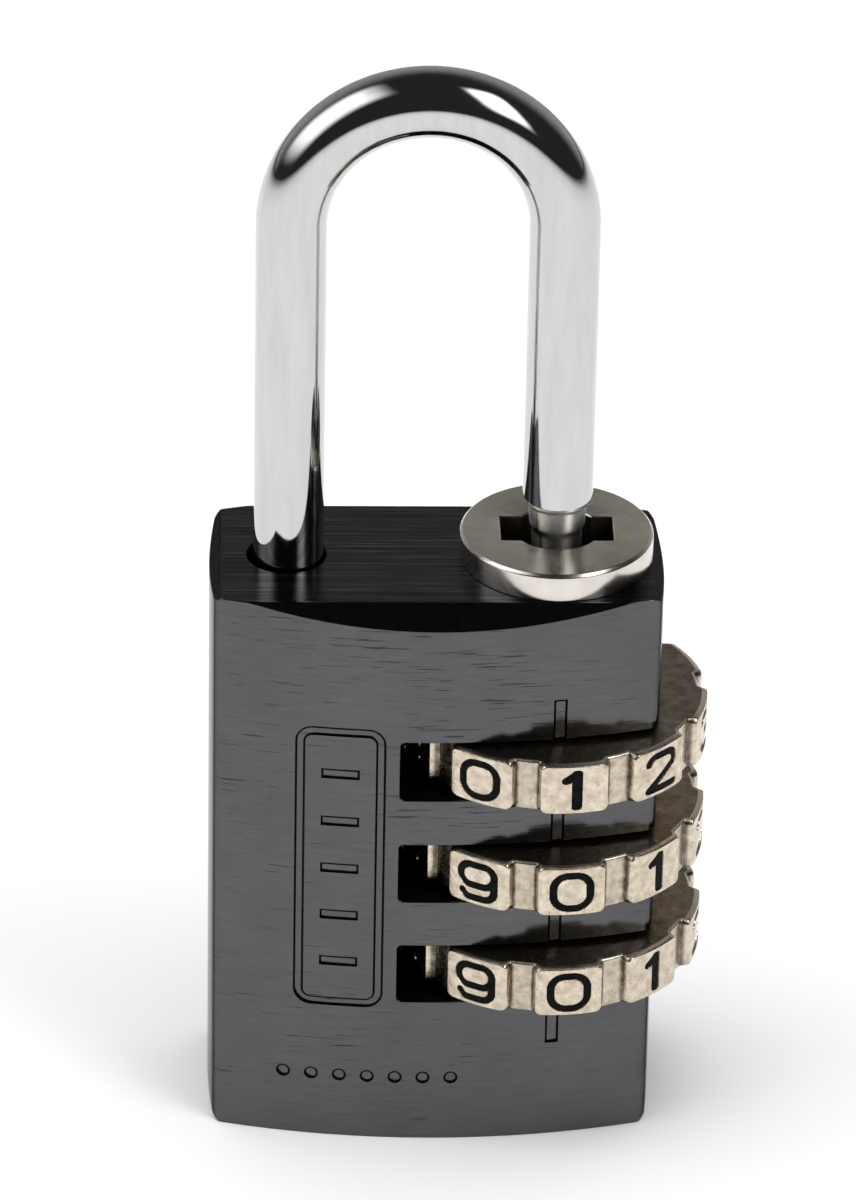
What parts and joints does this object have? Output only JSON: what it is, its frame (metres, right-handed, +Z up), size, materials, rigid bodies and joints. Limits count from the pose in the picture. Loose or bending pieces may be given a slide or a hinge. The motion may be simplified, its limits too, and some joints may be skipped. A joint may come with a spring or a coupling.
{
  "type": "combination disc padlock",
  "caption": "Small combination padlock: dark anodised block body with number dials set in side slots around the long leg of a polished round-bow shackle.",
  "frame": {"origin": "centre of the body's flat bottom face", "axes": "+Z up along the shackle's legs, +X towards the side where the dials stand out, -Y out of the numbered front"},
  "size_m": [0.0221, 0.0138, 0.0508],
  "materials": {
    "body_anodised": "satin dark anodised, finely brushed across",
    "shackle_chrome": "polished chrome plate on steel",
    "dial_nickel": "nickel plated, slightly rough and stained",
    "digit_paint": "glossy black paint filled into engraving",
    "bush_nickel": "satin nickel plated, turned",
    "clutch_brass": "turned, plain",
    "plain_steel": "plain",
    "spring_steel": "drawn wire and strip"
  },
  "bodies": {
    "case": {"lock_body": "body_anodised", "top_bush": "bush_nickel", "bush_pin": "plain_steel", "detent_leaf": "spring_steel", "detent_plug": "body_anodised", "clutch_spring": "spring_steel", "shackle_spring": "spring_steel"},
    "shackle_assembly": {"shackle": "shackle_chrome", "retaining_clip": "spring_steel", "spring_cup": "plain_steel"},
    "lower_washer": {"clutch_washer": "plain_steel"},
    "top_dial": {"dial_top": "dial_nickel", "numerals_top": "digit_paint"},
    "top_clutch": {"clutch_top": "clutch_brass"},
    "middle_dial": {"dial_middle": "dial_nickel", "numerals_middle": "digit_paint"},
    "middle_clutch": {"clutch_middle": "clutch_brass"},
    "bottom_dial": {"dial_bottom": "dial_nickel", "numerals_bottom": "digit_paint"},
    "bottom_clutch": {"clutch_bottom": "clutch_brass"}
  },
  "joints": [
    {"name": "shackle_lift", "type": "slide", "parent": "case", "child": "shackle_assembly", "axis": [0, 0, 1], "range_m": [0, 0.004], "deforming": ["shackle_spring"]},
    {"name": "dial_top_turn", "type": "hinge", "parent": "case", "child": "top_dial", "pos_m": [0.00525, 0, 0.01919], "axis": [0, 0, 1], "continuous": true, "deforming": ["detent_leaf"]},
    {"name": "dial_middle_turn", "type": "hinge", "parent": "case", "child": "middle_dial", "pos_m": [0.00525, 0, 0.01396], "axis": [0, 0, 1], "continuous": true, "deforming": ["detent_leaf"]},
    {"name": "dial_bottom_turn", "type": "hinge", "parent": "case", "child": "bottom_dial", "pos_m": [0.00525, 0, 0.00873], "axis": [0, 0, 1], "continuous": true, "deforming": ["detent_leaf"]},
    {"name": "clutch_bottom_shift", "type": "slide", "parent": "bottom_dial", "child": "bottom_clutch", "axis": [0, 0, 1], "range_m": [-0.00095, 0], "stiffness_N_per_m": 300, "springref_m": 0.001, "deforming": ["clutch_spring"]},
    {"name": "clutch_middle_shift", "type": "slide", "parent": "middle_dial", "child": "middle_clutch", "axis": [0, 0, 1], "range_m": [-0.00095, 0]},
    {"name": "clutch_top_shift", "type": "slide", "parent": "top_dial", "child": "top_clutch", "axis": [0, 0, 1], "range_m": [-0.00095, 0]},
    {"name": "washer_shift", "type": "slide", "parent": "case", "child": "lower_washer", "axis": [0, 0, 1], "range_m": [-0.00095, 0]}
  ],
  "couplings": [
    {"joint": "clutch_middle_shift", "follows": "clutch_bottom_shift", "ratio": 1},
    {"joint": "clutch_top_shift", "follows": "clutch_bottom_shift", "ratio": 1},
    {"joint": "washer_shift", "follows": "clutch_bottom_shift", "ratio": 1}
  ]
}
